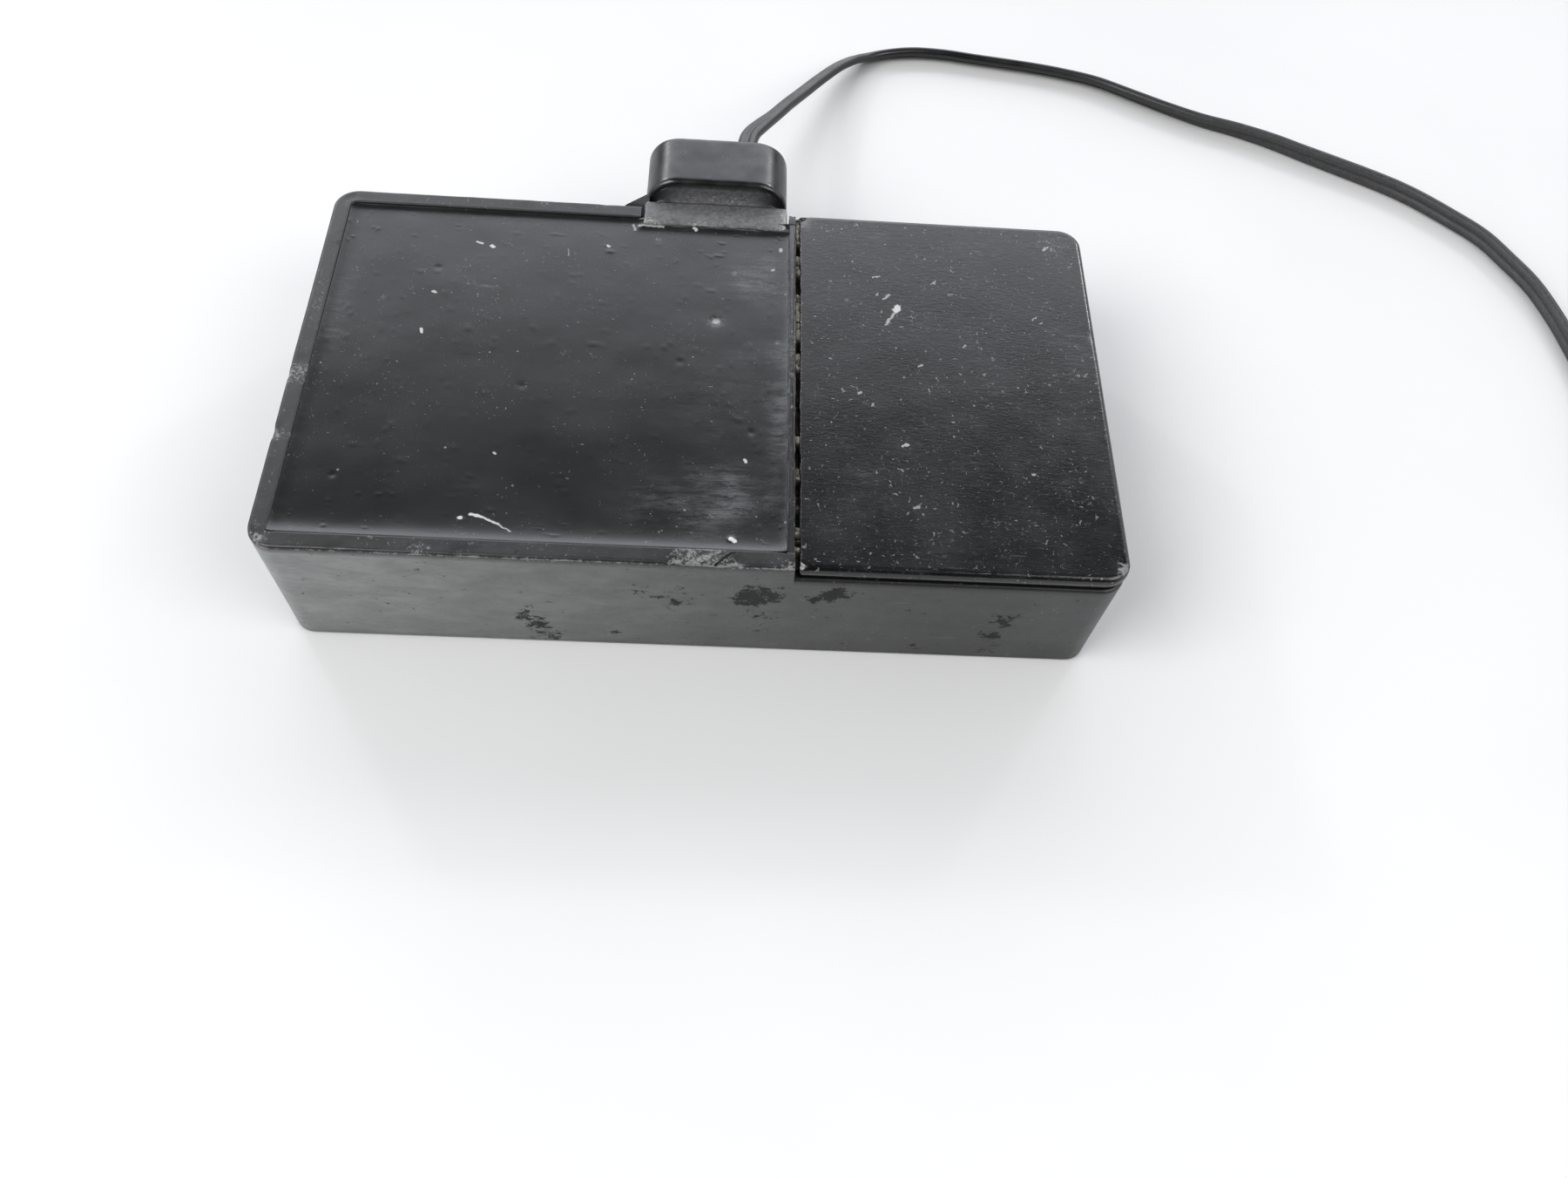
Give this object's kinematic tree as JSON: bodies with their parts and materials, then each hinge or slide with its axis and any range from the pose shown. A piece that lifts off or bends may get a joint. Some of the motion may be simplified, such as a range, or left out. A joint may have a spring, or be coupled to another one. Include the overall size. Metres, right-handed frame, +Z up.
{
  "type": "garage door opener",
  "caption": "Small flat box with a resin-filled electronics side, a lift-off cover over a coding switch bay, and a flat two-core lead leaving through a rubber grommet.",
  "frame": {"origin": "middle of the box's underside, on the surface it stands on; grommet and lead left out", "axes": "+X along the box from the resin side to the switch bay, +Y towards the cable grommet, +Z up through the cover"},
  "size_m": [0.1967, 0.1088, 0.0207],
  "materials": {
    "shell_plastic": "fine moulded grain, satin",
    "cover_plastic": "matt, fine grain",
    "resin": "cast black resin, satin to gloss",
    "grommet_rubber": "smooth moulded rubber",
    "lead_jacket": "smooth soft plastic jacket, satin",
    "core_red": "red core insulation",
    "core_black": "black core insulation",
    "board_laminate": "green solder mask over glass laminate",
    "ribbon": "flat flexible ribbon",
    "chip_black": "moulded black epoxy",
    "can_steel": "plated steel",
    "wire_copper": "bare copper wire",
    "resistor_beige": "lacquered ceramic",
    "sleeve_blue": "shrunk sleeve",
    "switch_red": "moulded plastic",
    "slider_white": "moulded plastic",
    "led_red": "clear red epoxy",
    "rotor_brass": "plated brass",
    "pin_brass": "plated brass",
    "plug_plastic": "moulded plastic",
    "tie_plastic": "moulded plastic",
    "seal_blue": "silicone rubber"
  },
  "bodies": {
    "case": {"case_shell": "shell_plastic", "main_board": "board_laminate", "switch_board": "board_laminate", "ribbon_link": "ribbon", "board_screw_1": "can_steel", "board_screw_2": "can_steel", "encoder_chip": "chip_black", "saw_resonator": "can_steel", "crystal": "can_steel", "oscillator_transistor": "chip_black", "voltage_regulator": "chip_black", "filter_capacitor": "sleeve_blue", "resistor_1": "resistor_beige", "resistor_2": "resistor_beige", "resistor_3": "resistor_beige", "resistor_4": "resistor_beige", "reverse_diode": "chip_black", "antenna_loop": "wire_copper", "core_positive": "core_red", "core_negative": "core_black", "potting_block": "resin", "cable_grommet": "grommet_rubber", "dip_switch_body": "switch_red", "pull_up_network": "resistor_beige", "learn_button_body": "can_steel", "trimmer_base": "slider_white", "status_led": "led_red", "lead": "lead_jacket", "lead_coil": "lead_jacket", "coil_tie": "tie_plastic", "lead_tail": "lead_jacket", "connector_housing": "plug_plastic", "connector_pin_1": "pin_brass", "connector_pin_2": "pin_brass", "connector_seal": "seal_blue"},
    "cover": {"access_cover": "cover_plastic"},
    "slider_1": {"dip_slider_1": "slider_white"},
    "slider_2": {"dip_slider_2": "slider_white"},
    "slider_3": {"dip_slider_3": "slider_white"},
    "slider_4": {"dip_slider_4": "slider_white"},
    "slider_5": {"dip_slider_5": "slider_white"},
    "slider_6": {"dip_slider_6": "slider_white"},
    "slider_7": {"dip_slider_7": "slider_white"},
    "slider_8": {"dip_slider_8": "slider_white"},
    "button": {"learn_button_cap": "chip_black"},
    "rotor": {"trimmer_rotor": "rotor_brass"}
  },
  "joints": [
    {"name": "cover_lift", "type": "slide", "parent": "case", "child": "cover", "axis": [0, 0, 1], "range_m": [0, 0.03]},
    {"name": "switch_1", "type": "slide", "parent": "case", "child": "slider_1", "axis": [-1, 0, 0], "range_m": [0, 0.0014]},
    {"name": "switch_2", "type": "slide", "parent": "case", "child": "slider_2", "axis": [1, 0, 0], "range_m": [0, 0.0014]},
    {"name": "switch_3", "type": "slide", "parent": "case", "child": "slider_3", "axis": [-1, 0, 0], "range_m": [0, 0.0014]},
    {"name": "switch_4", "type": "slide", "parent": "case", "child": "slider_4", "axis": [-1, 0, 0], "range_m": [0, 0.0014]},
    {"name": "switch_5", "type": "slide", "parent": "case", "child": "slider_5", "axis": [1, 0, 0], "range_m": [0, 0.0014]},
    {"name": "switch_6", "type": "slide", "parent": "case", "child": "slider_6", "axis": [1, 0, 0], "range_m": [0, 0.0014]},
    {"name": "switch_7", "type": "slide", "parent": "case", "child": "slider_7", "axis": [-1, 0, 0], "range_m": [0, 0.0014]},
    {"name": "switch_8", "type": "slide", "parent": "case", "child": "slider_8", "axis": [1, 0, 0], "range_m": [0, 0.0014]},
    {"name": "button_press", "type": "slide", "parent": "case", "child": "button", "axis": [0, 0, -1], "range_m": [0, 0.00025], "stiffness_N_per_m": 400, "springref_m": -0.001},
    {"name": "trimmer_turn", "type": "hinge", "parent": "case", "child": "rotor", "pos_m": [0.036, -0.0155, 0.0082], "axis": [0, 0, 1], "continuous": true}
  ]
}
